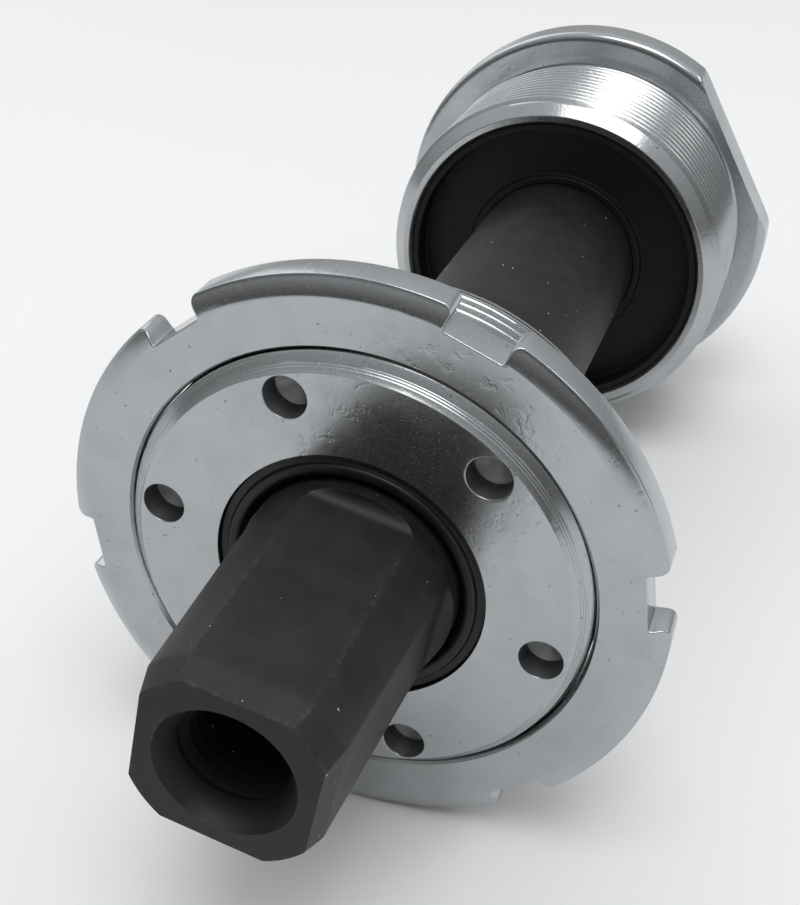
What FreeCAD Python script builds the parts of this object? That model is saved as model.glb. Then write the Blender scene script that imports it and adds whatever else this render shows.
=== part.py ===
import FreeCAD, Part
import math
import os

# Square-taper bottom bracket with adjustable cup-and-cone bearings.
# Millimetres. +X runs along the spindle to the drive side, +Y is forward and +Z is up.
# The origin is the middle of the frame shell, on the spindle's axis.
# Lengths along the spindle are distances from the origin; each side's pieces mirror about it.

Vector = FreeCAD.Vector
ORIGIN = Vector(0, 0, 0)
X_AXIS = Vector(1, 0, 0)
SAME_PLACE = 1e-6
PAST = 1.0
DRILL_POINT_DEG = 31.0

# Frame shell that the cups screw into: 68 mm wide, 1.37 in x 24 tpi
SHELL_HALF = 34.0
THREAD_R = 17.35
THREAD_RELIEF_R = 16.6
CUP_BORE_R = 15.0
CHAMBER_STEP = 1.0
SEAL_BORE_R = 10.05

# Adjustable cup (left) and its pin-spanner holes
CUP_FACE = 38.0
CUP_MOUTH = 23.0
CUP_MOUTH_BEVEL = 0.6
FACE_EDGE_R = 16.2
LOCK_SEAT_R = 17.1
PIN_CIRCLE_R = 14.5
PIN_R = 1.6
PIN_DEPTH = 2.1
PIN_COUNT = 6
PIN_START_DEG = 13.3

# Lockring
LOCK_FACE = 37.0
LOCK_R = 22.5
LOCK_FLAT_R = 21.1
LOCK_RIM = 36.55
LOCK_BORE_R = 17.2
LOCK_CHAMFER = 0.3
NOTCH_COUNT = 6
NOTCH_START_DEG = 53.4
NOTCH_HALF = 2.2
NOTCH_FLOOR_R = 20.85
NOTCH_ROUND = 0.6

# Fixed cup (right)
FIXED_FACE = 38.0
FIXED_MOUTH = 19.0
MOUTH_EDGE_R = 15.9
MOUTH_BEVEL = 0.3
RELIEF_WIDTH = 1.4
RELIEF_ROUND = 0.6
FLANGE_R = 20.2
FLANGE_ROUND = 0.9
FLANGE_EDGE_ROUND = 0.5
FLAT_HALF = 18.0
FLAT_DEG = 151.0

# Bearings: nine 1/4 in balls a side
BALL_R = 3.175
BALL_CIRCLE_R = 11.42
BALL_PLANE = 31.2
BALL_COUNT = 9
RACE_R = 3.2
POCKET_R = 3.25
CAGE_RING = (28.2, 29.0)
CAGE_RING_R = (10.3, 14.3)
FINGER_END = 32.0
FINGER_R = (10.4, 13.5)
FINGER_HALF = 0.5

# Spindle: turned diameters, cones and square tapers
SPINDLE_HALF = 58.0
SHAFT_R = 8.3
COLLAR_R = 9.4
COLLAR_START = 27.0
COLLAR_FULL = 28.1
LAND_R = 8.2
LAND_END = 33.5
SEAL_LAND_R = 8.0
SEAL_LAND = (34.5, 39.5)
CORNER_END_R = 7.5
CORNER_BREAK = 1.8
CORNER_BREAK_R = 6.85
TAPER_START = 56.1
TAPER_H = 6.4
TAPER_SLOPE = math.tan(math.radians(2.0))
TAPER_RUNOUT = 39.7
RUNOUT_R = 1.0
END_BEVEL_H = 5.9
SQUARE_DEG = 12.5
BOLT_R = 3.46
BOLT_DEPTH = 25.0
SINK_R = 4.75
SINK_HALF_DEG = 30.0

# Lip seals
SEAL_R = 10.03
SEAL_LIP_R = 8.04
SEAL_OUT = 37.65
SEAL_BEAD = 38.0
SEAL_BEAD_R = (9.35, 8.55)
SEAL_BACK = 34.9
LIP_SET_BACK = 0.55
LIP_WIDTH = 1.2
LIP_ROOT = 0.3

# Inner dust shields: distance of each one's rim and of its web from the origin
SHIELD_R = 14.97
SHIELD_LINER_R = 14.3
SHIELD_HOLE_R = 8.34
SHIELD_COLLAR_R = 9.2
SHIELD_COLLAR_RISE = 0.5
SHIELD_COLLAR_DRAFT = 0.2
SHIELD_WEB = 0.8
SHIELD_SKIRT = 1.2
SKIRT_TOP_R = 13.3
SKIRT_END_R = 14.1
LEFT_SHIELD = (23.3, 23.9)
RIGHT_SHIELD = (19.3, 21.5)


def point(x, r):
    """A profile point: x along the spindle, r out from its axis."""
    return Vector(x, 0, r)


def turned(start, *moves):
    """A solid turned about the X axis from a closed outline of lines and three-point arcs."""
    edges = []
    here = point(*start)
    for move in moves + (start,):
        if len(move) == 2:
            there = point(*move)
            if there.distanceToPoint(here) < SAME_PLACE:
                continue
            edges.append(Part.LineSegment(here, there).toShape())
        else:
            there = point(*move[2:])
            edges.append(Part.Arc(here, point(*move[:2]), there).toShape())
        here = there
    face = Part.Face(Part.Wire(edges))
    return face.revolve(ORIGIN, X_AXIS, 360)


def turn(shape, degrees):
    """A copy of the shape, turned about the X axis from +Y towards +Z."""
    copy = shape.copy()
    copy.rotate(ORIGIN, X_AXIS, degrees)
    return copy


def mirrored(shape):
    """The same piece for the other side of the shell."""
    return shape.mirror(ORIGIN, X_AXIS)


def ring_arc(centre_x, centre_r, radius, start_deg, end_deg):
    """Middle and end point of an arc about a profile point; degrees run from +X towards +r."""
    middle_deg = (start_deg + end_deg) / 2
    places = []
    for degrees in (middle_deg, end_deg):
        angle = math.radians(degrees)
        places.append(centre_x + radius * math.cos(angle))
        places.append(centre_r + radius * math.sin(angle))
    return tuple(places)


def race_deg_at(r):
    """Where the race arc crosses the radius r, as an angle below the ball's centre."""
    return math.degrees(math.asin((BALL_CIRCLE_R - r) / RACE_R))


def make_cup_blank(mouth, face, outside):
    """A right-hand bearing cup: race, seal bore and ball chamber, with the given outside outline."""
    bore_deg = -race_deg_at(SEAL_BORE_R)
    race_x = BALL_PLANE + RACE_R * math.cos(math.radians(bore_deg))
    return turned(
        (race_x, SEAL_BORE_R),
        (face, SEAL_BORE_R),
        *outside,
        (mouth, CUP_BORE_R + MOUTH_BEVEL),
        (mouth + MOUTH_BEVEL, CUP_BORE_R),
        (BALL_PLANE - CHAMBER_STEP, CUP_BORE_R),
        (BALL_PLANE, BALL_CIRCLE_R + RACE_R),
        ring_arc(BALL_PLANE, BALL_CIRCLE_R, RACE_R, 90, bore_deg),
    )


def make_adjustable_cup():
    """Left cup: bevelled face with six blind pin holes, threaded outside for its whole length."""
    face_bevel = THREAD_R - FACE_EDGE_R
    outside = (
        (CUP_FACE, FACE_EDGE_R),
        (CUP_FACE - face_bevel, LOCK_SEAT_R),
        (SHELL_HALF, LOCK_SEAT_R),
        (SHELL_HALF, THREAD_R),
        (CUP_MOUTH + CUP_MOUTH_BEVEL, THREAD_R),
        (CUP_MOUTH, THREAD_R - CUP_MOUTH_BEVEL),
    )
    cup = mirrored(make_cup_blank(CUP_MOUTH, CUP_FACE, outside))
    drill_point = PIN_R * math.tan(math.radians(DRILL_POINT_DEG))
    hole = turned(
        (-CUP_FACE - PAST, 0),
        (-CUP_FACE - PAST, PIN_R),
        (-CUP_FACE + PIN_DEPTH, PIN_R),
        (-CUP_FACE + PIN_DEPTH + drill_point, 0),
    )
    hole.translate(Vector(0, PIN_CIRCLE_R, 0))
    for i in range(PIN_COUNT):
        cup = cup.cut(turn(hole, PIN_START_DEG + i * 360 / PIN_COUNT))
    return cup


def make_lockring():
    """Notched ring that jams against the shell's left face; its front edge is rolled over."""
    roll_width = LOCK_R - LOCK_FLAT_R
    roll_drop = LOCK_FACE - LOCK_RIM
    roll_r = (roll_width ** 2 / roll_drop + roll_drop) / 2
    roll_deg = math.degrees(math.asin(roll_width / roll_r))
    ring = turned(
        (-SHELL_HALF, LOCK_BORE_R + LOCK_CHAMFER),
        (-SHELL_HALF - LOCK_CHAMFER, LOCK_BORE_R),
        (-LOCK_FACE + LOCK_CHAMFER, LOCK_BORE_R),
        (-LOCK_FACE, LOCK_BORE_R + LOCK_CHAMFER),
        (-LOCK_FACE, LOCK_FLAT_R),
        ring_arc(-LOCK_FACE + roll_r, LOCK_FLAT_R, roll_r, 180, 180 - roll_deg),
        (-SHELL_HALF - LOCK_CHAMFER, LOCK_R),
        (-SHELL_HALF, LOCK_R - LOCK_CHAMFER),
    )
    notch = notch_cutter()
    for i in range(NOTCH_COUNT):
        ring = ring.cut(turn(notch, NOTCH_START_DEG + i * 360 / NOTCH_COUNT))
    return ring


def notch_cutter():
    """Prism that cuts one spanner notch at +Y, its two mouth corners rounded."""
    outer = LOCK_R + PAST
    shoulder = math.sqrt(LOCK_R ** 2 - (NOTCH_HALF + NOTCH_ROUND) ** 2)
    start = shoulder - NOTCH_ROUND
    diagonal = NOTCH_ROUND * (1 - math.sqrt(0.5))
    x = -LOCK_FACE - PAST

    def place(y, z):
        return Vector(x, y, z)

    corners = []
    for side in (1, -1):
        half = side * NOTCH_HALF
        corners.append((
            place(NOTCH_FLOOR_R, half),
            place(start, half),
            place(shoulder - diagonal, half + side * diagonal),
            place(shoulder, half + side * NOTCH_ROUND),
            place(outer, half + side * NOTCH_ROUND),
        ))
    edges = []
    for floor, low, middle, high, top in corners:
        edges.append(Part.LineSegment(floor, low).toShape())
        edges.append(Part.Arc(low, middle, high).toShape())
        edges.append(Part.LineSegment(high, top).toShape())
    edges.append(Part.LineSegment(corners[0][0], corners[1][0]).toShape())
    edges.append(Part.LineSegment(corners[0][4], corners[1][4]).toShape())
    face = Part.Face(Part.Wire(Part.__sortEdges__(edges)))
    return face.extrude(Vector(LOCK_FACE - SHELL_HALF + 2 * PAST, 0, 0))


def make_fixed_cup():
    """Drive-side cup: threaded barrel, relief at the seat, and a flange with two wrench flats."""
    relief = SHELL_HALF - RELIEF_WIDTH
    slant = THREAD_R - THREAD_RELIEF_R
    outside = (
        (FIXED_FACE, FLANGE_R - FLANGE_EDGE_ROUND),
        ring_arc(FIXED_FACE - FLANGE_EDGE_ROUND, FLANGE_R - FLANGE_EDGE_ROUND, FLANGE_EDGE_ROUND, 0, 90),
        (SHELL_HALF + FLANGE_ROUND, FLANGE_R),
        ring_arc(SHELL_HALF + FLANGE_ROUND, FLANGE_R - FLANGE_ROUND, FLANGE_ROUND, 90, 180),
        (SHELL_HALF, THREAD_RELIEF_R + RELIEF_ROUND),
        ring_arc(SHELL_HALF - RELIEF_ROUND, THREAD_RELIEF_R + RELIEF_ROUND, RELIEF_ROUND, 0, -90),
        (relief, THREAD_RELIEF_R),
        (relief - slant, THREAD_R),
        (FIXED_MOUTH + THREAD_R - MOUTH_EDGE_R, THREAD_R),
        (FIXED_MOUTH, MOUTH_EDGE_R),
    )
    cup = make_cup_blank(FIXED_MOUTH, FIXED_FACE, outside)
    thick = FIXED_FACE - SHELL_HALF + 2 * PAST
    high = FLANGE_R - FLAT_HALF + PAST
    corner = Vector(SHELL_HALF - PAST, FLAT_HALF, -FLANGE_R)
    waste = Part.makeBox(thick, high, 2 * FLANGE_R, corner)
    for degrees in (FLAT_DEG, FLAT_DEG + 180):
        cup = cup.cut(turn(waste, degrees))
    return cup


def make_spindle():
    """One-piece axle: plain shaft, two bearing cones, seal lands and two square tapers."""
    collar_deg = -90 - math.degrees(math.acos((BALL_CIRCLE_R - COLLAR_R) / RACE_R))
    collar_x = BALL_PLANE + RACE_R * math.cos(math.radians(collar_deg))
    half = turned(
        (0, 0),
        (0, SHAFT_R),
        (COLLAR_START, SHAFT_R),
        (COLLAR_FULL, COLLAR_R),
        (collar_x, COLLAR_R),
        ring_arc(BALL_PLANE, BALL_CIRCLE_R, RACE_R, collar_deg, -90),
        (LAND_END, LAND_R),
        (SEAL_LAND[0], SEAL_LAND_R),
        (SEAL_LAND[1], SEAL_LAND_R),
        (SPINDLE_HALF - CORNER_BREAK, CORNER_END_R),
        (SPINDLE_HALF, CORNER_BREAK_R),
        (SPINDLE_HALF, 0),
    )
    for i in range(4):
        half = half.cut(turn(flat_cutter(), SQUARE_DEG + i * 90))
    half = half.cut(bolt_hole())
    return half.fuse(mirrored(half)).removeSplitter()


def flat_cutter():
    """Prism that mills one taper flat at +Y, with its end bevel and rounded run-out."""
    runout_h = TAPER_H + TAPER_SLOPE * (TAPER_START - TAPER_RUNOUT)
    past_end = SPINDLE_HALF + PAST
    bevel_slope = (TAPER_H - END_BEVEL_H) / (SPINDLE_HALF - TAPER_START)
    past_h = END_BEVEL_H - PAST * bevel_slope
    high = COLLAR_R + PAST
    wide = COLLAR_R + PAST
    halfway = math.sqrt(0.5)
    outline = [
        Vector(past_end, high, 0),
        Vector(past_end, past_h, 0),
        Vector(TAPER_START, TAPER_H, 0),
        Vector(TAPER_RUNOUT, runout_h, 0),
    ]
    top = Vector(TAPER_RUNOUT - RUNOUT_R, runout_h + RUNOUT_R, 0)
    middle = Vector(
        TAPER_RUNOUT - RUNOUT_R * halfway,
        runout_h + RUNOUT_R * (1 - halfway),
        0,
    )
    above = Vector(TAPER_RUNOUT - RUNOUT_R, high, 0)
    edges = []
    for first, second in zip(outline, outline[1:]):
        edges.append(Part.LineSegment(first, second).toShape())
    edges.append(Part.Arc(outline[-1], middle, top).toShape())
    edges.append(Part.LineSegment(top, above).toShape())
    edges.append(Part.LineSegment(above, outline[0]).toShape())
    face = Part.Face(Part.Wire(edges))
    face.translate(Vector(0, 0, -wide))
    return face.extrude(Vector(0, 0, 2 * wide))


def bolt_hole():
    """Countersunk blind hole for the crank bolt in the right-hand end."""
    sink_depth = (SINK_R - BOLT_R) / math.tan(math.radians(SINK_HALF_DEG))
    drill_point = BOLT_R * math.tan(math.radians(DRILL_POINT_DEG))
    bottom = SPINDLE_HALF - BOLT_DEPTH
    return turned(
        (bottom - drill_point, 0),
        (bottom, BOLT_R),
        (SPINDLE_HALF - sink_depth, BOLT_R),
        (SPINDLE_HALF, SINK_R),
        (SPINDLE_HALF + PAST, SINK_R),
        (SPINDLE_HALF + PAST, 0),
    )


def make_seal():
    """Left rubber lip seal: flat rim in the cup, round bead, and a lip on the spindle."""
    outer, inner = SEAL_BEAD_R
    bead_r = (outer + inner) / 2
    lip = -SEAL_OUT + LIP_SET_BACK
    return turned(
        (-SEAL_BACK, SEAL_R),
        (-SEAL_OUT, SEAL_R),
        (-SEAL_OUT, outer),
        (-SEAL_BEAD, bead_r, -SEAL_OUT, inner),
        (lip, SEAL_LIP_R),
        (lip + LIP_WIDTH, SEAL_LIP_R),
        (-SEAL_BACK, inner + LIP_ROOT),
    )


def make_shield(rim, web):
    """Right-hand dust shield: a liner in the cup's mouth, a web, a skirt and a collar at the shaft."""
    back = web + SHIELD_WEB
    collar = web - SHIELD_COLLAR_RISE
    return turned(
        (rim, SHIELD_R),
        (rim, SHIELD_LINER_R),
        (web, SHIELD_LINER_R),
        (web, SHIELD_COLLAR_R),
        (collar, SHIELD_COLLAR_R - SHIELD_COLLAR_DRAFT),
        (collar, SHIELD_HOLE_R),
        (back, SHIELD_HOLE_R),
        (back, SKIRT_TOP_R),
        (back + SHIELD_SKIRT, SKIRT_END_R),
        (back + SHIELD_SKIRT, SHIELD_R),
    )


def ball_centre(index):
    """Centre of one right-hand ball, counted from +Y towards +Z."""
    angle = 2 * math.pi * index / BALL_COUNT
    return Vector(BALL_PLANE, BALL_CIRCLE_R * math.cos(angle), BALL_CIRCLE_R * math.sin(angle))


def make_cage():
    """Right-hand ball cage: a pressed ring with pockets, and a finger between each two balls."""
    inner, outer = CAGE_RING_R
    first, last = CAGE_RING
    cage = turned((first, inner), (first, outer), (last, outer), (last, inner))
    low, high = FINGER_R
    finger = Part.makeBox(
        FINGER_END - first, high - low, 2 * FINGER_HALF, Vector(first, low, -FINGER_HALF)
    )
    step = 360 / BALL_COUNT
    for i in range(BALL_COUNT):
        cage = cage.fuse(turn(finger, (i + 0.5) * step))
    for i in range(BALL_COUNT):
        cage = cage.cut(Part.makeSphere(POCKET_R, ball_centre(i)))
    return cage.removeSplitter()


def save(name, shape):
    """Write one named piece as a STEP file. It has to be a single valid solid."""
    if len(shape.Solids) != 1 or not shape.isValid():
        raise ValueError(name + " is not one valid solid")
    print(name, round(shape.Volume, 1), "mm3")
    shape.Solids[0].exportStep("parts/" + name + ".step")


os.makedirs("parts", exist_ok=True)
save("spindle", make_spindle())
save("fixed_cup", make_fixed_cup())
save("adjustable_cup", make_adjustable_cup())
save("lockring", make_lockring())
save("left_seal", make_seal())
save("right_seal", mirrored(make_seal()))
save("left_inner_shield", mirrored(make_shield(*LEFT_SHIELD)))
save("right_inner_shield", make_shield(*RIGHT_SHIELD))
right_cage = make_cage()
save("right_ball_cage", right_cage)
save("left_ball_cage", mirrored(right_cage))
for number in range(BALL_COUNT):
    ball = Part.makeSphere(BALL_R, ball_centre(number))
    save("right_ball_%d" % (number + 1), ball)
    save("left_ball_%d" % (number + 1), mirrored(ball))
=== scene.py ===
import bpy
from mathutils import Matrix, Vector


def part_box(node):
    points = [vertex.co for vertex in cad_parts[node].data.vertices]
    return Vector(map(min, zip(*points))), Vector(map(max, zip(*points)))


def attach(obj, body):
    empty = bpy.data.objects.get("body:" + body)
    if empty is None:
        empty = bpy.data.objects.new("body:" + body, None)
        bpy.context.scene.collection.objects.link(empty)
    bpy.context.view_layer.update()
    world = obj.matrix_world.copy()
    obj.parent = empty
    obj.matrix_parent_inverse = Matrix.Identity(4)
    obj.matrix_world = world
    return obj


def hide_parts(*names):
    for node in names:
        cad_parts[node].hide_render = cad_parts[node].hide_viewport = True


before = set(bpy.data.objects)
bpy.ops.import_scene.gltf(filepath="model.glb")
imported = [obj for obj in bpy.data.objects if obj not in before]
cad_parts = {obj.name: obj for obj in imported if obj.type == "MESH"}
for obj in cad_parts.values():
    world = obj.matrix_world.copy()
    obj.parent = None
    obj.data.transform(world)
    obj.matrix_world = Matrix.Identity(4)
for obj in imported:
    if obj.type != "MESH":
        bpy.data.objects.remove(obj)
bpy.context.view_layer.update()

import math

import bmesh
import bpy
import numpy as np
from mathutils import Vector

MM = 0.001


# Stage. The bottom bracket lies on a white table, on the rims of its lockring and of its flange.
# A window light hangs above the near end, a wide room light stands beyond the far end, and a small
# light at one side brightens the edges.

LOCK_LOW, LOCK_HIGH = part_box("lockring")
FLANGE_LOW, FLANGE_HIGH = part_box("fixed_cup")
CAMERA_PLACE = Vector((-0.10988, -0.02933, 0.05811))
CAMERA_AIM = Vector((0.80336, 0.28436, -0.52322))
CAMERA_LENS = 54.7
FLOOR_HALF = 3.0
FLOOR_WHITE = (0.83, 0.835, 0.84, 1)
FLOOR_OUTLINE = (
    (-FLOOR_HALF, -FLOOR_HALF), (FLOOR_HALF, -FLOOR_HALF),
    (FLOOR_HALF, FLOOR_HALF), (-FLOOR_HALF, FLOOR_HALF),
)
SHADE_OUTLINE = (
    (-0.083, 0.002), (-0.088, -0.001), (-0.095, 0.006),
    (-0.099, 0.013), (-0.101, 0.024), (-0.090, 0.024),
)
SHADE_LIFT = 0.001
SHADE_BLACK = (0.02, 0.02, 0.02, 1)
RIM_INSET = 2 * MM
GLOW_LOWEST = 0.06
GLOW_AHEAD = 0.34
GLOW_ABOVE = 0.45
GLOW_TINT = (0.97, 0.985, 1, 1)
BACKDROP = 0.55

rim_near = (LOCK_LOW.x + LOCK_HIGH.x) / 2
rim_far = FLANGE_HIGH.x - RIM_INSET
floor_slope = (LOCK_HIGH.z - FLANGE_HIGH.y) / (rim_far - rim_near)


def plain_material(name, colour, roughness):
    """A material of one colour, for the stage."""
    made = bpy.data.materials.new(name)
    made.use_nodes = True
    shader = made.node_tree.nodes["Principled BSDF"]
    shader.inputs["Base Color"].default_value = colour
    shader.inputs["Roughness"].default_value = roughness
    return made


def stage_sheet(name, outline, lift, material):
    """A flat sheet this far above the table's top, which slopes so that both rims rest on it:
    z = lockring's low point + lift + slope * (x - lockring's middle)."""
    mesh = bpy.data.meshes.new(name)
    corners = [(x, y, LOCK_LOW.z + lift + floor_slope * (x - rim_near)) for x, y in outline]
    mesh.from_pydata(corners, [], [tuple(range(len(corners)))])
    mesh.materials.append(material)
    sheet = bpy.data.objects.new(name, mesh)
    bpy.context.scene.collection.objects.link(sheet)
    return sheet


def soft_light(name, place, target, size, power, colour=(1, 1, 1)):
    """A square area light, turned to face the target point."""
    light = bpy.data.lights.new(name, "AREA")
    light.size = size
    light.energy = power
    light.color = colour
    lamp = bpy.data.objects.new(name, light)
    bpy.context.scene.collection.objects.link(lamp)
    lamp.location = place
    lamp.rotation_euler = (Vector(target) - Vector(place)).to_track_quat("-Z", "Y").to_euler()
    return lamp


class Wire:
    """A shader socket used in expressions: + - * and their reflected forms add Math nodes."""

    def __init__(self, tree, socket):
        self.tree = tree
        self.socket = socket

    def node(self, kind, settings=None, sockets=None, output=0):
        """Any node: its settings are set first, then the values or links of its sockets."""
        made = self.tree.nodes.new(kind)
        for name, value in (settings or {}).items():
            setattr(made, name, value)
        for name, value in (sockets or {}).items():
            if isinstance(value, Wire):
                self.tree.links.new(value.socket, made.inputs[name])
            else:
                made.inputs[name].default_value = value
        return Wire(self.tree, made.outputs[output])

    def math(self, operation, *values):
        """A Math node of this operation on the values."""
        return self.node("ShaderNodeMath", {"operation": operation}, dict(enumerate(values)))

    def __add__(self, other):
        return self.math("ADD", self, other)

    def __radd__(self, other):
        return self.math("ADD", other, self)

    def __sub__(self, other):
        return self.math("SUBTRACT", self, other)

    def __rsub__(self, other):
        return self.math("SUBTRACT", other, self)

    def __mul__(self, other):
        return self.math("MULTIPLY", self, other)

    def __rmul__(self, other):
        return self.math("MULTIPLY", other, self)

    def between(self, low, high):
        """0 below low, 1 above high, and a smooth step from one to the other."""
        settings = {"interpolation_type": "SMOOTHSTEP"}
        sockets = {"Value": self, "From Min": low, "From Max": high}
        return self.node("ShaderNodeMapRange", settings, sockets)

    def noise(self, scale, detail=2.0, roughness=0.5):
        """Noise at this scale over a place."""
        sockets = {"Vector": self, "Scale": scale, "Detail": detail, "Roughness": roughness}
        return self.node("ShaderNodeTexNoise", {}, sockets)

    def mapped(self, scale, rotation=(0, 0, 0)):
        """A place turned and stretched about the origin."""
        sockets = {"Vector": self, "Scale": scale, "Rotation": rotation}
        return self.node("ShaderNodeMapping", {}, sockets)

    def part(self, axis):
        """One coordinate of a place: 0, 1 or 2."""
        return self.node("ShaderNodeSeparateXYZ", {}, {"Vector": self}, axis)

    def blend(self, first, second):
        """The first colour where this is 0 and the second where it is 1."""
        return self.node("ShaderNodeMix", {"data_type": "RGBA"}, {0: self, 6: first, 7: second}, 2)

    def bumps(self, strength, depth):
        """The surface's direction with this height pressed into it, its depth in metres."""
        sockets = {"Strength": strength, "Distance": depth, "Height": self}
        return self.node("ShaderNodeBump", {}, sockets)

    def from_axis(self):
        """A place's distance from the spindle's axis: sqrt(y^2 + z^2)."""
        y, z = self.part(1), self.part(2)
        return self.math("SQRT", y * y + z * z)


stage_sheet("floor", FLOOR_OUTLINE, 0.0, plain_material("table_white", FLOOR_WHITE, 0.6))
soft_light("window_light", (-0.20, -0.11, 0.62), (0, 0, 0), size=0.36, power=1.9)
soft_light("room_light", (0.40, 0.65, 0.55), (0, 0, 0), size=0.8, power=1.7, colour=(0.98, 0.99, 1))
soft_light("side_light", (0.16, -0.50, 0.44), (0, 0, 0), size=0.16, power=0.35)

# The black sheet under the near end of the spindle is a painted reflection: it shows only in the
# chrome, as a dark patch on the table in front would, and the camera, diffuse light and shadows never
# see it.
shade_black = plain_material("shade_black", SHADE_BLACK, 0.8)
shade_sheet = stage_sheet("shade_sheet", SHADE_OUTLINE, SHADE_LIFT, shade_black)
shade_sheet.visible_camera = False
shade_sheet.visible_diffuse = False
shade_sheet.visible_shadow = False

room = bpy.data.worlds.new("room")
bpy.context.scene.world = room
room.use_nodes = True
direction = Wire(room.node_tree, None).node("ShaderNodeTexCoord", output="Generated")
ahead = (direction.part(0) * 0.5 + 0.5).between(0.0, 0.75)
above = direction.part(2).between(-0.1, 0.9)
glow = GLOW_LOWEST + ahead * GLOW_AHEAD + above * GLOW_ABOVE
seen = direction.node("ShaderNodeLightPath", output="Is Camera Ray")
brightness = glow * (1 - seen) + seen * BACKDROP
background = room.node_tree.nodes["Background"]
background.inputs["Color"].default_value = GLOW_TINT
room.node_tree.links.new(brightness.socket, background.inputs["Strength"])
bpy.context.scene.view_settings.view_transform = "Standard"

camera_data = bpy.data.cameras.new("camera")
camera_data.lens = CAMERA_LENS
camera_data.clip_start = 0.01
camera = bpy.data.objects.new("camera", camera_data)
bpy.context.scene.collection.objects.link(camera)
camera.location = CAMERA_PLACE
camera.rotation_euler = CAMERA_AIM.to_track_quat("-Z", "Y").to_euler()
bpy.context.scene.camera = camera


# Fixed cup. Turned from steel and chrome plated: a barrel with a left-hand 24 tpi thread, a
# relief at the seat, a flange with two spanner flats, and the ball race and seal bore inside.

TURN = 2 * math.pi
PITCH = 25.4 / 24
THREAD_DEPTH = 0.66
THREAD_STEPS = (0.0, 0.035, 0.08, 0.15, 0.3, 0.5, 0.7, 0.85, 0.92, 0.965)
CREST_ROUND = 0.07
CUP_COLUMNS = 288
BALL_CIRCLE_R = 11.42
RACE_R = 3.2
BALL_PLANE = 31.2
CUP_BORE_R = 15.0
SEAL_BORE_R = 10.05
SUPPORT = 0.03
LONGEST_CUT = 0.42
LONGEST_SUPPORT = 0.48
CORNER_POINTS = 6
RACE_POINTS = 15
SHORTEST_STEP = 1e-4
JOIN_GAP = 1e-6
SHARP_DEG = 32.0
BORE_LEAD = 0.3
BORE_SHOULDER = 1.0
SEAL_EDGE = 0.12
MOUTH_EDGE = 0.08
FIXED_MOUTH_R = 15.9
ROOT_GAP = 0.05
RELIEF_R = 16.6
RELIEF_LENGTH = 1.4
CHROME_TONE = 0.45
CHROME_ROUGHNESS = 0.15
CHROME_LINES = 0.6
PIT_GREY = (0.12, 0.12, 0.12, 1)
DRILLED_GREY = (0.20, 0.205, 0.21, 1)

fixed_mouth = FLANGE_LOW.x / MM
fixed_face = FLANGE_HIGH.x / MM
flange_r = FLANGE_HIGH.y / MM
SHELL_HALF = 34.0
THREAD_R = 17.35
FLAT_HALF = 18.0
FLAT_DEG = 151.0


def rounded_line(corners, closed=False):
    """An outline of straight runs through corners (x, r, size). A corner of some size is rounded
    by the curve (1-t)^2 A + 2t(1-t) C + t^2 B, and a point close to each end keeps the runs flat."""
    corners = np.array(corners, float)
    place, size = corners[:, :2], corners[:, 2:]
    back = np.roll(place, 1, 0) - place
    on = np.roll(place, -1, 0) - place
    back_length = np.linalg.norm(back, axis=1, keepdims=True)
    on_length = np.linalg.norm(on, axis=1, keepdims=True)
    back = back / np.maximum(back_length, 1e-9)
    on = on / np.maximum(on_length, 1e-9)
    if not closed:
        size = size.copy()
        size[[0, -1]] = 0
    shorter = np.minimum(back_length, on_length)
    cut = np.minimum(size, LONGEST_CUT * shorter)
    support = np.where(cut > 0, np.minimum(cut + SUPPORT, LONGEST_SUPPORT * shorter), 0)
    t = np.linspace(0, 1, CORNER_POINTS)[None, :, None]
    a = (place + back * cut)[:, None]
    b = (place + on * cut)[:, None]
    curve = (1 - t) ** 2 * a + 2 * t * (1 - t) * place[:, None] + t ** 2 * b
    whole = np.concatenate(
        [(place + back * support)[:, None], curve, (place + on * support)[:, None]], axis=1
    ).reshape(-1, 2)
    step = np.linalg.norm(np.diff(whole, axis=0), axis=1)
    whole = whole[np.concatenate([[True], step > SHORTEST_STEP])]
    if closed:
        whole = np.concatenate([whole, whole[:1]])
    return whole


def round_the_axis(x, r, angle):
    """Points at distance r from the spindle's axis: (x, r cos angle, r sin angle)."""
    x, r, angle = np.broadcast_arrays(x, r, angle)
    return np.stack([x, r * np.cos(angle), r * np.sin(angle)], axis=-1)


def columns_of(count):
    """Angles of a full turn, the first and the last on one line."""
    return np.linspace(0, TURN, count + 1)


def v_groove(turns):
    """Depth of a thread, 0 on its round crests and 1 at its roots: sqrt(w^2 + e^2) - e, scaled, where
    w is the distance in turns from the nearest crest and e is CREST_ROUND."""
    away = np.abs(np.mod(turns + 0.5, 1) - 0.5)
    deepest = math.hypot(0.5, CREST_ROUND) - CREST_ROUND
    return (np.hypot(away, CREST_ROUND) - CREST_ROUND) / deepest


def thread_patch(start, end, angle, pitch, hand, radius_at, steps=THREAD_STEPS):
    """A threaded wall whose rows are the thread's own helices: x = pitch (row + hand angle / turn),
    held between start and end, where circles meet the next patch. radius_at gives r(x, phase)."""
    turns = np.arange(math.floor(start / pitch) - 2, math.ceil(end / pitch) + 2)
    rows = (turns[:, None] + np.array(steps)).ravel()[:, None]
    x = np.clip(pitch * (rows + hand * angle / TURN), start, end)
    return round_the_axis(x, radius_at(x, x / pitch - hand * angle / TURN), angle)


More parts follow.
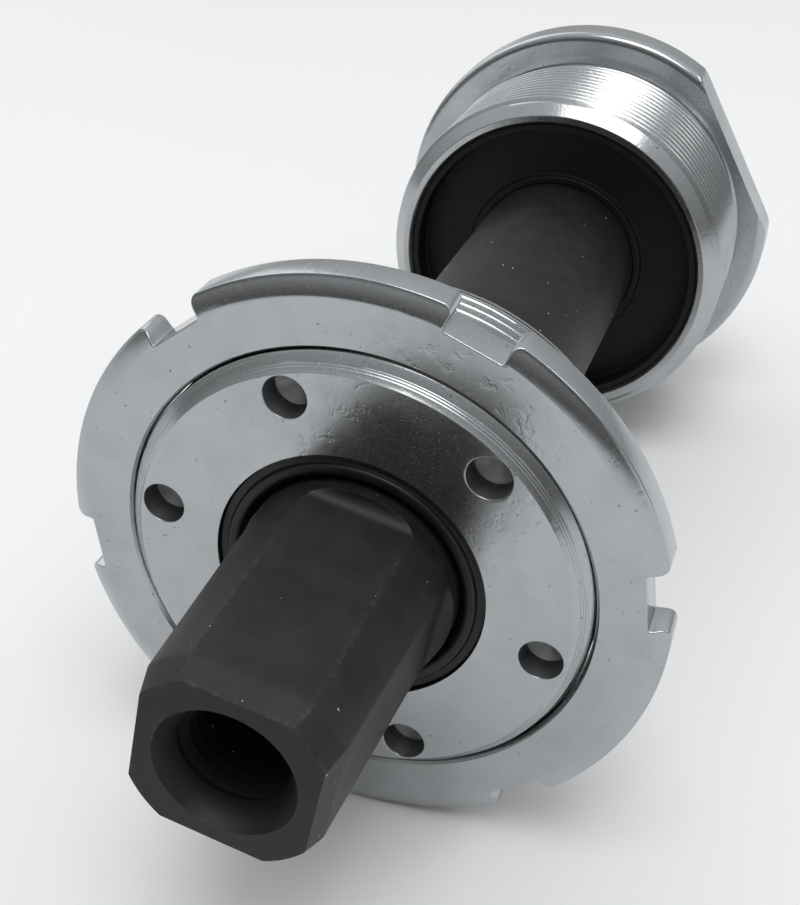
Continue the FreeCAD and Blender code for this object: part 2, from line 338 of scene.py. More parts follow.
def skin(name, *patches):
    """A mesh from grids of points (rows, columns, place and wear) in mm, joined where they meet,
    with its faces turned outwards and its edges sharp above SHARP_DEG."""
    places, wear, quads, first = [], [], [], 0
    for patch in patches:
        rows, columns = patch.shape[:2]
        places.append(patch[..., :3].reshape(-1, 3))
        worn = patch[..., 3] if patch.shape[2] > 3 else np.zeros((rows, columns))
        wear.append(worn.ravel())
        index = first + np.arange(rows * columns).reshape(rows, columns)
        around = (index[:-1, :-1], index[:-1, 1:], index[1:, 1:], index[1:, :-1])
        quads.append(np.stack(around, axis=-1).reshape(-1, 4))
        first += rows * columns
    places = np.concatenate(places) * MM
    quads = np.concatenate(quads)
    mesh = bpy.data.meshes.new(name)
    mesh.vertices.add(len(places))
    mesh.vertices.foreach_set("co", places.astype(np.float32).ravel())
    mesh.loops.add(quads.size)
    mesh.loops.foreach_set("vertex_index", quads.astype(np.int32).ravel())
    mesh.polygons.add(len(quads))
    mesh.polygons.foreach_set("loop_start", np.arange(0, quads.size, 4, dtype=np.int32))
    mesh.update(calc_edges=True)
    mesh.attributes.new("wear", "FLOAT", "POINT").data.foreach_set(
        "value", np.concatenate(wear).astype(np.float32)
    )
    shape = bmesh.new()
    shape.from_mesh(mesh)
    bmesh.ops.remove_doubles(shape, verts=shape.verts, dist=JOIN_GAP)
    bmesh.ops.dissolve_degenerate(shape, edges=shape.edges, dist=JOIN_GAP)
    bmesh.ops.recalc_face_normals(shape, faces=shape.faces)
    shape.to_mesh(mesh)
    shape.free()
    mesh.polygons.foreach_set("use_smooth", np.ones(len(mesh.polygons), bool))
    mesh.set_sharp_from_angle(angle=math.radians(SHARP_DEG))
    piece = bpy.data.objects.new(name, mesh)
    bpy.context.scene.collection.objects.link(piece)
    return piece


def new_finish(name):
    """An empty surface material: (material, its shader node, the place in millimetres)."""
    made = bpy.data.materials.new(name)
    made.use_nodes = True
    shader = made.node_tree.nodes["Principled BSDF"]
    start = Wire(made.node_tree, None)
    place = start.node("ShaderNodeTexCoord", output="Object")
    millimetres = place.node(
        "ShaderNodeVectorMath", {"operation": "SCALE"}, {"Vector": place, "Scale": 1000.0}
    )
    return made, shader, millimetres


def plug(shader, **sockets):
    """Set or link the shader's sockets; an underscore in a name stands for a space."""
    for name, value in sockets.items():
        socket = shader.inputs[name.replace("_", " ")]
        if isinstance(value, Wire):
            value.tree.links.new(value.socket, socket)
        else:
            socket.default_value = value


def scratch_lines(place, turn, length, width, low, high):
    """Sparse straight scratches: noise drawn out along one direction, cut off above a level."""
    streak = place.mapped((1 / length, 1 / width, 1 / width), turn)
    return streak.noise(1.0, 1.0).between(low, high)


def make_chrome(name, tone, roughness, line_strength):
    """Satin chrome plate over turned steel: fine turning lines round the axis, a cloudy film,
    small pits and a few scratches."""
    made, shader, place = new_finish(name)
    across, along = place.from_axis() * 9.0, place.part(0) * 9.0
    swept = place.node("ShaderNodeCombineXYZ", {}, {"X": across, "Y": along, "Z": 0.0})
    lines = swept.noise(1.0, 3.0, 0.6)
    cloud = place.noise(0.22, 3.0, 0.6)
    grain = place.noise(2.5, 3.0, 0.6)
    pits = place.noise(3.1, 1.0).between(0.735, 0.80)
    scratches = scratch_lines(place, (0.4, 0.9, 0.5), 4.0, 0.05, 0.70, 0.78)
    scratches = scratches + scratch_lines(place, (1.7, 0.2, 2.1), 6.0, 0.06, 0.71, 0.79)
    dull = cloud.between(0.35, 0.75)
    drilled = place.node("ShaderNodeAttribute", {"attribute_name": "wear"}, {}, "Fac")
    bright = (tone * 0.98, tone * 1.01, tone * 1.03, 1)
    hazy = (tone * 0.88, tone * 0.91, tone * 0.92, 1)
    shade = (pits * 0.75).blend(dull.blend(bright, hazy), PIT_GREY)
    shade = (drilled * 0.35).blend(shade, DRILLED_GREY)
    dents = place.noise(0.85, 3.0, 0.65).between(0.52, 0.72)
    turned = lines * (line_strength + drilled * 1.5)
    height = turned + grain * 0.3 - dents * 1.6 - pits * 2.0 - scratches * 0.8
    plug(
        shader,
        Base_Color=shade,
        Metallic=1.0,
        Roughness=roughness + dull * 0.06 + grain * 0.05 + scratches * 0.1 + drilled * 0.22,
        Normal=height.bumps(0.35, 0.00001),
    )
    return made


chrome = make_chrome("chrome_plate", CHROME_TONE, CHROME_ROUGHNESS, CHROME_LINES)


def race_arc(first_deg, last_deg, side):
    """The ball race as outline corners: an arc of the race radius about the ball's centre."""
    angle = np.radians(np.linspace(first_deg, last_deg, RACE_POINTS))
    x = side * (BALL_PLANE + RACE_R * np.cos(angle))
    return np.column_stack([x, BALL_CIRCLE_R + RACE_R * np.sin(angle), 0 * angle])


def cup_inside(mouth, face, side):
    """Outline corners of a cup's inside, from its mouth past the race to the seal bore's edge."""
    bore_deg = -math.degrees(math.asin((BALL_CIRCLE_R - SEAL_BORE_R) / RACE_R))
    entry = [
        (side * mouth, CUP_BORE_R + BORE_LEAD, MOUTH_EDGE),
        (side * (mouth + BORE_LEAD), CUP_BORE_R, MOUTH_EDGE),
        (side * (BALL_PLANE - BORE_SHOULDER), CUP_BORE_R, 0.2),
    ]
    exit_edge = [(side * face, SEAL_BORE_R, SEAL_EDGE)]
    return [*entry, *race_arc(90, bore_deg, side), *exit_edge]


def flatted(points):
    """Spanner flats: r is held under the flats' distance over cos(angle from the flat's middle)."""
    angle = np.arctan2(points[..., 2], points[..., 1]) - math.radians(FLAT_DEG)
    reach = FLAT_HALF / np.maximum(np.abs(np.cos(angle)), 0.5)
    r = np.hypot(points[..., 1], points[..., 2])
    squeeze = np.where(points[..., 0:1] > SHELL_HALF - 0.01, np.minimum(1, reach / r)[..., None], 1)
    return points * np.concatenate([np.ones_like(squeeze), squeeze, squeeze], axis=-1)


angles = columns_of(CUP_COLUMNS)
flat_edge = math.acos(FLAT_HALF / flange_r)
fixed_angles = angles + math.radians(FLAT_DEG) + flat_edge
bevel_start = fixed_mouth + (THREAD_R - THREAD_DEPTH - ROOT_GAP - FIXED_MOUTH_R)
relief_start = SHELL_HALF - RELIEF_LENGTH


def fixed_radius(x, phase):
    """The barrel: the lowest of the mouth's bevel, the thread and the run down to the relief."""
    bevel = FIXED_MOUTH_R + (x - fixed_mouth)
    relief = RELIEF_R + np.maximum(relief_start - x, 0)
    return np.minimum(np.minimum(bevel, relief), THREAD_R - THREAD_DEPTH * v_groove(phase))


barrel = thread_patch(bevel_start, relief_start, fixed_angles, PITCH, -1, fixed_radius)
flange_line = rounded_line([
    (relief_start, RELIEF_R, 0),
    (SHELL_HALF, RELIEF_R, 0.6),
    (SHELL_HALF, flange_r, 0.9),
    (fixed_face, flange_r, 0.6),
    (fixed_face, SEAL_BORE_R, SEAL_EDGE),
    *cup_inside(fixed_mouth, fixed_face, 1)[-2::-1],
    (fixed_mouth, FIXED_MOUTH_R, MOUTH_EDGE),
    (bevel_start, FIXED_MOUTH_R + bevel_start - fixed_mouth, 0),
])
flange = flatted(round_the_axis(flange_line[:, :1], flange_line[:, 1:], fixed_angles))
fixed_cup = skin("fixed_cup_shell", barrel, flange)
fixed_cup.data.materials.append(chrome)
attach(fixed_cup, "drive_cup")
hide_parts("fixed_cup")


# Adjustable cup. The same steel and plate as the fixed cup, with a right-hand thread from end to
# end. Six blind holes, drilled in its face, take a pin spanner.

CUP_LOW, CUP_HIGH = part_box("adjustable_cup")
cup_face = CUP_LOW.x / MM
cup_mouth = CUP_HIGH.x / MM
FACE_EDGE_R = 16.2
PIN_CIRCLE_R = 14.5
PIN_R = 1.6
PIN_DEPTH = 2.1
PIN_COUNT = 6
PIN_START_DEG = 13.3
PIN_POINT_DEG = 31.0
MOUTH_R = 16.62
MOUTH_TAPER = 0.33
TURNED_PITCH = 0.14
TURNED_DEPTH = 0.018
MOUTH_FACE_R = 16.4
FACE_RIM = 0.05
PIN_EDGE = 0.05
SECTOR_ROWS = 12
START_ROWS = 41
SEAL_RIM_R = SEAL_BORE_R + SEAL_EDGE
face_bevel_end = cup_face + 2 * TURNED_PITCH
thread_start = cup_face + 10 * TURNED_PITCH
sector_columns = CUP_COLUMNS // PIN_COUNT


def pinned_sector(middle):
    """One sixth of the face with its hole: each row is the hole's circle (fraction 0) drawn out to
    the sector's own outline (fraction 1), and further rows go down the hole to its point."""
    half = math.pi / PIN_COUNT
    sweep = np.linspace(-half, half, sector_columns + 1)
    ladder = np.linspace(FACE_EDGE_R - FACE_RIM, SEAL_RIM_R, SECTOR_ROWS + 1)
    radius = np.concatenate([
        np.full(sector_columns, FACE_EDGE_R - FACE_RIM),
        ladder[:-1],
        np.full(sector_columns, SEAL_RIM_R),
        ladder[:0:-1],
        [FACE_EDGE_R - FACE_RIM],
    ])
    angle = np.concatenate([
        sweep[:-1], np.full(SECTOR_ROWS, half), sweep[:0:-1], np.full(SECTOR_ROWS, -half), [-half]
    ])
    across = radius * np.cos(angle) - PIN_CIRCLE_R
    along = radius * np.sin(angle)
    length = np.hypot(across, along)
    fraction = np.array([0, 0.04, 0.2, 0.5, 1])[:, None]
    out = (PIN_R + PIN_EDGE) * (1 - fraction) + length * fraction
    flat = np.zeros_like(out)
    t = np.linspace(0, math.pi / 2, 5)[1:, None]
    rim = PIN_R + PIN_EDGE * (1 - np.sin(t))
    rim_down = PIN_EDGE * (1 - np.cos(t))
    deep = np.array([0.5, 0.97, 1.0, 1.0, 1.0, 1.0])[:, None] * PIN_DEPTH
    narrowing = np.array([1, 1, 0.93, 0.6, 0.25, 0.0])[:, None]
    point_down = (1 - narrowing) * PIN_R * math.tan(math.radians(PIN_POINT_DEG))
    out = np.concatenate([out[::-1], rim + 0 * length, PIN_R * narrowing + 0 * length])
    down = np.concatenate([flat, rim_down + 0 * length, deep + point_down + 0 * length])
    y = PIN_CIRCLE_R + out * across / length
    z = out * along / length
    turn = complex(math.cos(middle), math.sin(middle))
    place = (y + 1j * z) * turn
    drilled = np.where(down > 0.04, 1.0, 0.0)
    return np.stack([cup_face + down, place.real, place.imag, drilled], axis=-1)


def adjustable_radius(x, phase):
    """The thread, held under the long lead-in cone at the mouth and under the 45 degree bevel at
    the face, where the tool has left fine rings of TURNED_PITCH."""
    rings = TURNED_DEPTH * np.sin(TURN * (x - cup_face) / TURNED_PITCH)
    face_bevel = FACE_EDGE_R + (x - cup_face) + rings
    lead_in = MOUTH_R + MOUTH_TAPER * (cup_mouth - x)
    return np.minimum(
        np.minimum(face_bevel, lead_in), THREAD_R - THREAD_DEPTH * v_groove(phase)
    )


pin_start = math.radians(PIN_START_DEG)
cup_angles = angles + pin_start - math.pi / PIN_COUNT
cup_wall = thread_patch(thread_start, cup_mouth, cup_angles, PITCH, 1, adjustable_radius)
start_x = np.linspace(face_bevel_end, thread_start, START_ROWS)[:, None]
start_r = adjustable_radius(start_x, start_x / PITCH - cup_angles / TURN)
cup_start = round_the_axis(start_x, start_r, cup_angles)
mouth_edge_r = adjustable_radius(cup_mouth, cup_mouth / PITCH - cup_angles / TURN)
mouth_face_r = np.stack([mouth_edge_r, np.full(cup_angles.shape, MOUTH_FACE_R)])
cup_mouth_face = round_the_axis(cup_mouth, mouth_face_r, cup_angles)
cup_line = rounded_line([
    (cup_mouth, MOUTH_FACE_R, 0),
    *cup_inside(-cup_mouth, -cup_face, -1),
    (cup_face, SEAL_RIM_R, 0),
])
cup_core = round_the_axis(cup_line[:, :1], cup_line[:, 1:], cup_angles)
face_edge_line = rounded_line([
    (cup_face, FACE_EDGE_R - FACE_RIM, 0),
    (cup_face, FACE_EDGE_R, FACE_RIM),
    (face_bevel_end, FACE_EDGE_R + face_bevel_end - cup_face, 0),
])
face_edge = round_the_axis(face_edge_line[:, :1], face_edge_line[:, 1:], cup_angles)
sectors = [pinned_sector(pin_start + i * TURN / PIN_COUNT) for i in range(PIN_COUNT)]
adjustable_cup = skin(
    "adjustable_cup_shell", cup_wall, cup_start, cup_mouth_face, cup_core, face_edge, *sectors
)
adjustable_cup.data.materials.append(chrome)
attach(adjustable_cup, "adjustable_cup")
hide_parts("adjustable_cup")


# Lockring. Pressed and turned steel, chrome plated. Its outer front edge is rolled over, and six
# notches for a hook spanner are milled through the edge.

lock_face = LOCK_LOW.x / MM
lock_back = LOCK_HIGH.x / MM
lock_r = LOCK_HIGH.z / MM
ROLL_START_R = 21.1
ROLL_FIRST_DEG = 14.0
ROLL_LAST_DEG = 36.0
ROLL_GAP = 0.02
LOCK_BORE_R = 17.45
BORE_CHAMFER = 0.25
NOTCH_COUNT = 6
NOTCH_START_DEG = 53.4
NOTCH_HALF = 2.2
NOTCH_FLOOR_R = 20.85
NOTCH_MOUTH = 0.6
NOTCH_CORNER = 0.15
FLOOR_POINTS = 6
WALL_POINTS = 4
RIM_POINTS = 24
BORE_KNOTS_DEG = (0, 5.6, 9.2, 10.6, 180 / NOTCH_COUNT)
EDGE_BREAK = 0.1


def notch_half_outline():
    """Half of one notch and the rim beside it, as (y, z, bore angle): the floor, its corner, the
    wall, the round mouth of radius NOTCH_MOUTH, and the rim out to halfway to the next notch."""
    shoulder = math.sqrt(lock_r ** 2 - (NOTCH_HALF + NOTCH_MOUTH) ** 2)
    bend = np.linspace(0, math.pi / 2, 5)[1:-1]
    wall_y = np.linspace(NOTCH_FLOOR_R + NOTCH_CORNER, shoulder - NOTCH_MOUTH, WALL_POINTS)
    mouth_end = math.asin((NOTCH_HALF + NOTCH_MOUTH) / lock_r)
    rim = np.linspace(mouth_end, math.pi / NOTCH_COUNT, RIM_POINTS)
    y = np.concatenate([
        np.full(FLOOR_POINTS, NOTCH_FLOOR_R),
        NOTCH_FLOOR_R + NOTCH_CORNER * (1 - np.cos(bend)),
        wall_y,
        shoulder - NOTCH_MOUTH * (1 - np.sin(bend)),
        lock_r * np.cos(rim),
    ])
    z = np.concatenate([
        np.linspace(0, NOTCH_HALF - NOTCH_CORNER, FLOOR_POINTS),
        NOTCH_HALF - NOTCH_CORNER * (1 - np.sin(bend)),
        np.full(WALL_POINTS, NOTCH_HALF),
        NOTCH_HALF + NOTCH_MOUTH * (1 - np.cos(bend)),
        lock_r * np.sin(rim),
    ])
    part_ends = np.cumsum([FLOOR_POINTS, len(bend) + WALL_POINTS, len(bend), RIM_POINTS]) - 1
    bore_angle = np.interp(np.arange(len(y)), [0, *part_ends], np.radians(BORE_KNOTS_DEG))
    return y, z, bore_angle


def full_outline():
    """All six notches: the half outline, its mirror image, and both turned by sixths of a turn."""
    y, z, bore = notch_half_outline()
    rim, angle = np.hypot(y, z), np.arctan2(z, y)
    pitch_angle = TURN / NOTCH_COUNT
    rim = np.concatenate([rim, rim[-2:0:-1]])
    angle = np.concatenate([angle, pitch_angle - angle[-2:0:-1]])
    bore = np.concatenate([bore, pitch_angle - bore[-2:0:-1]])
    turns = np.arange(NOTCH_COUNT)[:, None] * pitch_angle + math.radians(NOTCH_START_DEG)
    whole = [np.tile(rim, NOTCH_COUNT), (angle + turns).ravel(), (bore + turns).ravel()]
    return [np.append(part, part[0] + wrap) for part, wrap in zip(whole, (0, TURN, TURN))]


def roll_x(r):
    """The front of the ring at radius r: flat, then an arc whose slope grows from ROLL_FIRST_DEG,
    where it leaves the flat with a crease, to ROLL_LAST_DEG at the rim."""
    first, last = math.radians(ROLL_FIRST_DEG), math.radians(ROLL_LAST_DEG)
    bend = (lock_r - ROLL_START_R) / (math.sin(last) - math.sin(first))
    slope = np.arcsin(math.sin(first) + np.maximum(r - ROLL_START_R, 0) / bend)
    return lock_face + bend * (math.cos(first) - np.cos(slope))


rim_r, rim_angle, bore_angle = full_outline()
rim_y, rim_z = rim_r * np.cos(rim_angle), rim_r * np.sin(rim_angle)
run_y = np.roll(rim_y[:-1], -1) - np.roll(rim_y[:-1], 1)
run_z = np.roll(rim_z[:-1], -1) - np.roll(rim_z[:-1], 1)
run = np.hypot(run_y, run_z)
out_y = np.append(run_z / run, run_z[0] / run[0])
out_z = np.append(-run_y / run, -run_y[0] / run[0])
inner_y, inner_z = rim_y - EDGE_BREAK * out_y, rim_z - EDGE_BREAK * out_z
inner_r, inner_angle = np.hypot(inner_y, inner_z), np.arctan2(inner_z, inner_y)
inner_angle = rim_angle + np.angle(np.exp(1j * (inner_angle - rim_angle)))
bore_edge = LOCK_BORE_R + BORE_CHAMFER
bend_r = np.minimum(ROLL_START_R, inner_r - ROLL_GAP)


def between_bore_and_rim(r):
    """The angle at radius r on the way from the bore's angle to the rim's, in step with r."""
    share = (r - bore_edge) / (inner_r - bore_edge)
    return bore_angle + (inner_angle - bore_angle) * share


flat_rows = bore_edge + (bend_r - bore_edge) * np.array([0, 0.02, 0.35, 0.7, 0.98, 1])[:, None]
roll_rows = bend_r + (inner_r - bend_r) * np.linspace(0, 1, 9)[1:, None]
front_r = np.concatenate([flat_rows, roll_rows])
front = round_the_axis(roll_x(front_r), front_r, between_bore_and_rim(front_r))
break_turn = np.linspace(0, math.pi / 2, 5)[:, None]
lip_y = inner_y + EDGE_BREAK * np.sin(break_turn) * out_y
lip_z = inner_z + EDGE_BREAK * np.sin(break_turn) * out_z
lip_sink = EDGE_BREAK * (1 - np.cos(break_turn))
lip_front = np.stack([roll_x(inner_r) + lip_sink, lip_y, lip_z], -1)
lip_back = np.stack([lock_back - lip_sink + 0 * lip_y, lip_y, lip_z], -1)
back_rows = bore_edge + (inner_r - bore_edge) * np.array([0, 0.02, 0.5, 0.98, 1])[:, None]
back = round_the_axis(lock_back, back_rows, between_bore_and_rim(back_rows))
bore_line = rounded_line([
    (lock_back, bore_edge, 0),
    (lock_back - BORE_CHAMFER, LOCK_BORE_R, 0.03),
    (lock_face + BORE_CHAMFER, LOCK_BORE_R, 0.03),
    (lock_face, bore_edge, 0),
])
bore_wall = round_the_axis(bore_line[:, :1], bore_line[:, 1:], bore_angle)
lip_wall = np.stack([lip_front[-1], lip_back[-1]])
lockring = skin("lockring_ring", front, lip_front, lip_wall, lip_back, back, bore_wall)
lockring.data.materials.append(chrome)
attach(lockring, "lockring")
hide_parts("lockring")


# Spindle. One piece of hardened steel, turned, with a square taper milled on each end, then
# blackened with oxide. Each end has a countersunk M8 x 1 hole for the crank bolt.

SPINDLE_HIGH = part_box("spindle")[1]
spindle_half = SPINDLE_HIGH.x / MM
SHAFT_R = 8.3
COLLAR_R = 9.4
SEAL_LAND_R = 8.0
CORNER_START = 39.5
CORNER_END_R = 7.5
CORNER_BREAK = 1.8
CORNER_BREAK_R = 6.85
SPREAD_START = 35.0
TAPER_START = 56.1
TAPER_H = 6.4
TAPER_SLOPE = math.tan(math.radians(2.0))
TAPER_RUNOUT = 39.7
RUNOUT_R = 1.0
END_BEVEL_H = 5.9
SQUARE_DEG = 12.5
BOLT_R = 3.46
BOLT_DEPTH = 25.0
BOLT_THREAD_DEPTH = 0.5
BOLT_STEPS = (0.0, 0.12, 0.5, 0.88)
SINK_R = 4.75
SINK_SLOPE = math.tan(math.radians(30))
DRILL_SLOPE = math.tan(math.radians(31))
WEAR_WIDTH = 0.25
END_WEAR = 0.5
EDGE_ROUND = 0.05
QUARTER_COLUMNS = 16


def square_columns(split):
    """Angles round a square section: in each eighth turn, half of the columns close up on the
    flat's edge from inside and half from outside. split is the edge's angle from the middle."""
    t = np.linspace(0, 1, QUARTER_COLUMNS // 2 + 1)
    inside = split * (1 - (1 - t) ** 2)
    outside = split + (math.pi / 4 - split) * t[1:] ** 2
    eighth = np.concatenate([inside, outside], axis=1)
    quarter = np.concatenate([eighth, math.pi / 2 - eighth[:, -2:0:-1]], axis=1)
    turns = np.arange(4) * math.pi / 2
    around = (quarter[:, None] + turns[None, :, None]).reshape(len(split), -1)
    return np.concatenate([around, around[:, :1] + TURN], axis=1)


def flat_height(x):
    """Distance of the flats from the axis: the end bevel, the 2 degree taper and the run-out arc."""
    runout_h = TAPER_H + TAPER_SLOPE * (TAPER_START - TAPER_RUNOUT)
    along_bevel = (spindle_half - x) / (spindle_half - TAPER_START)
    bevel = END_BEVEL_H + (TAPER_H - END_BEVEL_H) * along_bevel
    taper = TAPER_H + TAPER_SLOPE * (TAPER_START - x)
    into = np.clip(TAPER_RUNOUT - x, 0, RUNOUT_R)
    arc = runout_h + RUNOUT_R - np.sqrt(RUNOUT_R ** 2 - into ** 2)
    high = np.where(x > TAPER_START, bevel, np.where(x > TAPER_RUNOUT, taper, arc))
    return np.where(x < TAPER_RUNOUT - RUNOUT_R, 2 * COLLAR_R, high)


def spindle_outside():
    """Half of the outside, from the middle to the end face: rows of (x, r)."""
    collar_deg = -90 - math.degrees(math.acos((BALL_CIRCLE_R - COLLAR_R) / RACE_R))
    turned = rounded_line([
        (0, SHAFT_R, 0),
        (9, SHAFT_R, 0),
        (18, SHAFT_R, 0),
        (27.0, SHAFT_R, 0.3),
        (28.1, COLLAR_R, 0.15),
        *race_arc(collar_deg, -90, 1),
        (33.5, 8.2, 0.2),
        (34.5, SEAL_LAND_R, 0.2),
    ])
    spread = np.linspace(SPREAD_START, TAPER_RUNOUT - RUNOUT_R, 9)
    runout = TAPER_RUNOUT - RUNOUT_R * np.sin(np.linspace(math.pi / 2, 0, 11))
    taper = np.linspace(TAPER_RUNOUT, TAPER_START, 20)[1:]
    nose = np.linspace(TAPER_START, spindle_half, 10)[1:]
    x = np.concatenate([spread, runout[1:], taper, nose])
    corner_x = [CORNER_START, spindle_half - CORNER_BREAK, spindle_half]
    corner = np.interp(x, corner_x, [SEAL_LAND_R, CORNER_END_R, CORNER_BREAK_R])
    return np.concatenate([turned, np.column_stack([x, corner])])


def spindle_half_grid():
    """The outside and the end face as rows of (x, r, angle, wear): r is the lower of the turned
    radius and flat height / cos(angle), blended over EDGE_ROUND where they cross."""
    line = spindle_outside()
    x, turned = line[:, :1], line[:, 1:]
    high = flat_height(x)
    edge = np.arccos(np.clip(high / turned, -1, 1))
    milled = x >= TAPER_RUNOUT - RUNOUT_R
    rest_split = np.arccos(flat_height(np.array([TAPER_RUNOUT])) / SEAL_LAND_R)[0]
    first_split = edge[milled][0]
    settle = np.clip((x - SPREAD_START) / (TAPER_RUNOUT - RUNOUT_R - SPREAD_START), 0, 1)
    split = np.where(milled, edge, rest_split + (first_split - rest_split) * settle)
    angle = square_columns(split)
    from_flat = np.mod(angle + math.pi / 4, math.pi / 2) - math.pi / 4
    flat = high / np.cos(from_flat)
    gap = np.abs(flat - turned)
    soft = np.where(milled, np.maximum(EDGE_ROUND - gap, 0) ** 2 / (4 * EDGE_ROUND), 0)
    r = np.minimum(flat, turned) - soft
    wear = np.where(milled, np.clip(1 - gap / WEAR_WIDTH, 0, 1), 0)
    wear = np.maximum(wear, np.clip((x - spindle_half + END_WEAR) / END_WEAR, 0, 1))
    return x + 0 * r, r, angle + math.radians(SQUARE_DEG), wear


x_rows, r_rows, angle_rows, wear_rows = spindle_half_grid()
outside_place = round_the_axis(x_rows, r_rows, angle_rows)
outside_right = np.concatenate([outside_place, wear_rows[..., None]], -1)
end_share = np.linspace(0, 1, 6)[:, None]
end_r = r_rows[-1] + (SINK_R - r_rows[-1]) * end_share
end_wear = np.clip(1 - end_share * 4, 0, 1) + np.clip(end_share * 4 - 3, 0, 1) + 0 * end_r
end_face = np.concatenate(
    [round_the_axis(spindle_half, end_r, angle_rows[-1]), end_wear[..., None]], -1
)
sink_length = (SINK_R - BOLT_R - BOLT_THREAD_DEPTH) / SINK_SLOPE
bolt_start = spindle_half - BOLT_DEPTH


def bolt_radius(x, phase):
    """The M8 x 1 hole: its thread, which fades into the plain bottom, or the countersink where
    that is wider."""
    worked = BOLT_R + BOLT_THREAD_DEPTH * (1 - v_groove(phase))
    fade = np.clip((x - bolt_start - 1.0) / 1.0, 0, 1)
    sink = SINK_R - (spindle_half - x) * SINK_SLOPE
    return np.maximum(BOLT_R + (worked - BOLT_R) * fade, sink)


bolt_angles = angle_rows[-1] - angle_rows[-1, 0]
sink_end = spindle_half - sink_length
sink_x = np.linspace(spindle_half, sink_end, 8)[:, None]
sink_r = SINK_R - (spindle_half - sink_x) * SINK_SLOPE
sink = round_the_axis(sink_x, sink_r, angle_rows[-1])
bolt_wall = thread_patch(bolt_start, sink_end, bolt_angles, 1.0, 1, bolt_radius, BOLT_STEPS)
turn_back = complex(math.cos(angle_rows[-1, 0]), math.sin(angle_rows[-1, 0]))
bolt_yz = (bolt_wall[..., 1] + 1j * bolt_wall[..., 2]) * turn_back
bolt_wall = np.stack([bolt_wall[..., 0], bolt_yz.real, bolt_yz.imag], -1)
drill = np.array([0, 0.2, 0.5, 0.8, 1])[:, None] * BOLT_R
drill_x = bolt_start - (BOLT_R - drill) * DRILL_SLOPE
drill_point = round_the_axis(drill_x, drill, angle_rows[-1])
right_end = [outside_right, end_face, sink, bolt_wall, drill_point]
mirror = np.array([-1, 1, 1])
left_end = [np.concatenate([part[..., :3] * mirror, part[..., 3:]], -1) for part in right_end]


def make_black_oxide():
    """Black oxide on steel: brown-black with cloudy patches, scratches, white specks and bare
    metal along worn edges, which the wear attribute marks. Painted shade darkens the bolt holes."""
    made, shader, place = new_finish("black_oxide")
    cloud = place.noise(0.35, 4.0, 0.65)
    grain = place.noise(6.0, 3.0, 0.6)
    chips = place.noise(2.2, 3.0, 0.7).between(0.48, 0.62)
    specks = place.noise(1.9, 1.0).between(0.785, 0.81)
    scratches = scratch_lines(place, (0.3, 0.5, 0.2), 3.0, 0.05, 0.72, 0.78)
    wear = place.node("ShaderNodeAttribute", {"attribute_name": "wear"}, {}, "Fac")
    bare = wear * wear * chips
    # Painted shade in the bolt holes: outside is 0 within 3.6 mm of the axis and 1 beyond 4.6 mm.
    outside = place.from_axis().between(3.6, 4.6)
    shade = cloud.between(0.3, 0.75).blend((0.011, 0.0093, 0.009, 1), (0.021, 0.0175, 0.0165, 1))
    shade = (bare * 0.17 + scratches * 0.15).blend(shade, (0.12, 0.115, 0.11, 1))
    # Painted shade: within the bolt holes the colour goes almost black.
    shade = outside.blend((0.0015, 0.0014, 0.0014, 1), shade)
    shade = (specks * 0.9).blend(shade, (0.6, 0.6, 0.58, 1))
    height = grain * 0.7 + cloud * 0.4 - scratches * 0.8
    plug(
        shader,
        Base_Color=shade,
        Metallic=0.2,
        Specular_IOR_Level=0.4,
        Roughness=0.80 - outside * 0.38 + cloud * 0.16 + grain * 0.06 - bare * 0.06,
        Normal=height.bumps(0.5, 0.00002),
    )
    return made


black_oxide = make_black_oxide()
spindle = skin("spindle_axle", *right_end, *left_end)
spindle.data.materials.append(black_oxide)
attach(spindle, "spindle")
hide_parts("spindle")


# Lip seals. Moulded black rubber rings pressed into the cups' faces: a flat rim, a round bead
# and a lip that follows the spindle.

SEAL_R = 10.03
SEAL_OUT = 37.65
SEAL_BEAD = 38.0
SEAL_BACK = 34.9
SEAL_LIP_R = 8.04
SEAL_COLUMNS = 128


def make_rubber():
    """Black rubber: a soft sheen, a dusty film and a fine mould grain."""
    made, shader, place = new_finish("seal_rubber")
    dust = place.noise(0.8, 4.0, 0.65).between(0.4, 0.8)
    grain = place.noise(14.0, 2.0, 0.5)
    shade = (dust * 0.5).blend((0.004, 0.004, 0.005, 1), (0.012, 0.012, 0.014, 1))
    plug(
        shader,
        Base_Color=shade,
        Roughness=0.38 + dust * 0.16 + grain * 0.05,
        Specular_IOR_Level=0.4,
        Normal=grain.bumps(0.4, 0.00001),
    )
    return made


seal_rubber = make_rubber()
seal_line = rounded_line([
    (SEAL_BACK, SEAL_R, 0.1),
    (SEAL_OUT, SEAL_R, 0.15),
    (SEAL_OUT, 9.40, 0.1),
    (SEAL_BEAD, 9.25, 0.2),
    (SEAL_BEAD, 8.60, 0.25),
    (SEAL_OUT - 0.55, SEAL_LIP_R, 0.12),
    (SEAL_OUT - 1.75, SEAL_LIP_R, 0.1),
    (SEAL_BACK, 8.85, 0.1),
], closed=True)
for side, body in ((-1, "cup_carriage"), (1, "drive_cup")):
    name = "left_seal" if side < 0 else "right_seal"
    points = round_the_axis(side * seal_line[:, :1], seal_line[:, 1:], columns_of(SEAL_COLUMNS))
    seal = skin(name + "_ring", points)
    seal.data.materials.append(seal_rubber)
    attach(seal, body)
    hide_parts(name)


# Inner dust shields. Moulded black plastic cups pushed into the cups' mouths: a liner, a web
# that closes the mouth, and a collar round the shaft.

SHIELD_R = 14.97
SHIELD_LINER_R = 14.3
SHIELD_HOLE_R = 8.34
SHIELD_WEB = 0.8
SHIELD_COLUMNS = 160
SHIELDS = (
    ("left_inner_shield", "cup_carriage", -1, 23.3, 23.9),
    ("right_inner_shield", "drive_cup", 1, 19.3, 21.5),
)


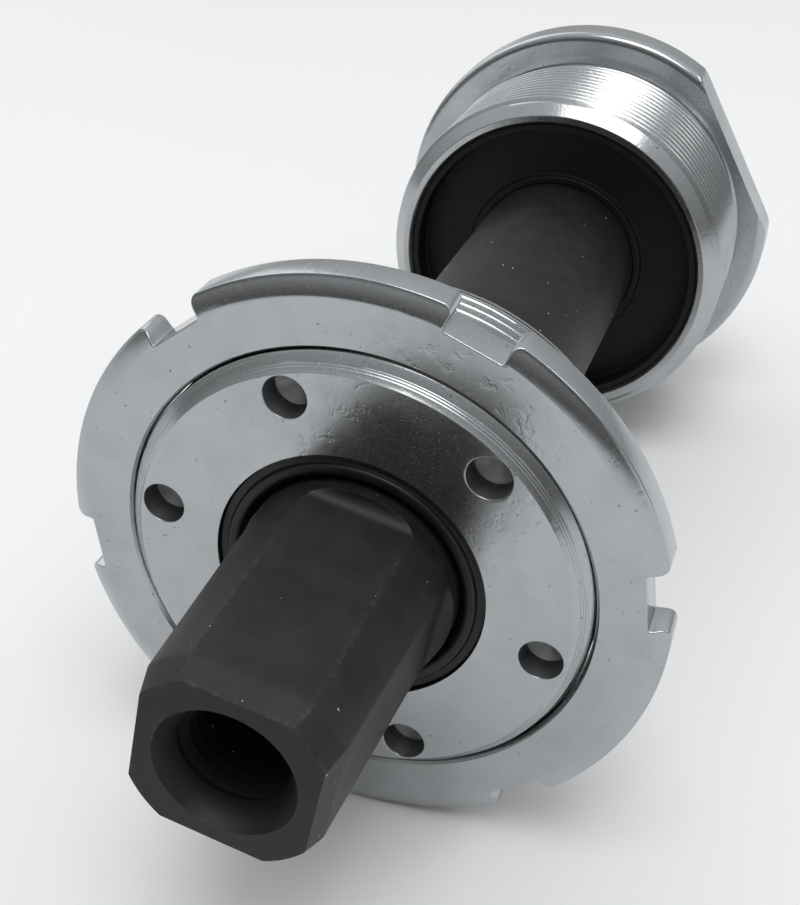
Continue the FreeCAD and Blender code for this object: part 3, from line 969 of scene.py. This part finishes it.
def make_shield_plastic():
    """Moulded black plastic: nearly matt, with a fine grain and some dust."""
    made, shader, place = new_finish("shield_plastic")
    dust = place.noise(0.5, 4.0, 0.65).between(0.45, 0.85)
    grain = place.noise(9.0, 2.0, 0.5)
    shade = (dust * 0.5).blend((0.004, 0.0036, 0.0045, 1), (0.010, 0.009, 0.010, 1))
    plug(
        shader,
        Base_Color=shade,
        Roughness=0.55 + dust * 0.15,
        Specular_IOR_Level=0.3,
        Normal=grain.bumps(0.5, 0.00002),
    )
    return made


shield_plastic = make_shield_plastic()
for name, body, side, rim, web in SHIELDS:
    back = web + SHIELD_WEB
    shield_line = rounded_line([
        (rim, SHIELD_R, 0.12),
        (rim, SHIELD_LINER_R, 0.12),
        (web, SHIELD_LINER_R, 0.3),
        (web, 9.2, 0.15),
        (web - 0.5, 9.0, 0.15),
        (web - 0.5, SHIELD_HOLE_R, 0.1),
        (back, SHIELD_HOLE_R, 0.1),
        (back, 13.3, 0.2),
        (back + 1.2, 14.1, 0.1),
        (back + 1.2, SHIELD_R, 0.1),
    ], closed=True)
    shield_columns = columns_of(SHIELD_COLUMNS)
    points = round_the_axis(side * shield_line[:, :1], shield_line[:, 1:], shield_columns)
    shield = skin(name + "_cup", points)
    shield.data.materials.append(shield_plastic)
    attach(shield, body)
    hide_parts(name)


# Bearings. Nine polished steel balls a side, held apart by a pressed steel cage. They run between
# the cup's race and the spindle's cone, and keep the shape of the frame's own solids.


def make_steel(name, colour, roughness, strength):
    """Bare steel with an oil film: cloudy roughness and small scratches."""
    made, shader, place = new_finish(name)
    film = place.noise(0.9, 3.0, 0.6)
    scratches = scratch_lines(place, (0.9, 0.3, 1.2), 1.5, 0.04, 0.68, 0.76)
    oiled = (colour[0] * 0.8, colour[1] * 0.77, colour[2] * 0.7, 1)
    shade = film.between(0.3, 0.8).blend((*colour, 1), oiled)
    plug(
        shader,
        Base_Color=shade,
        Metallic=1.0,
        Roughness=roughness + film * 0.1 + scratches * 0.15,
        Normal=(film - scratches).bumps(strength, 0.00001),
    )
    return made


ball_steel = make_steel("ball_steel", (0.72, 0.73, 0.74), 0.04, 0.1)
cage_steel = make_steel("cage_steel", (0.52, 0.50, 0.46), 0.26, 0.4)
for name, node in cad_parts.items():
    if "_ball_" in name:
        for slot in node.material_slots:
            slot.material = cage_steel if name.endswith("cage") else ball_steel
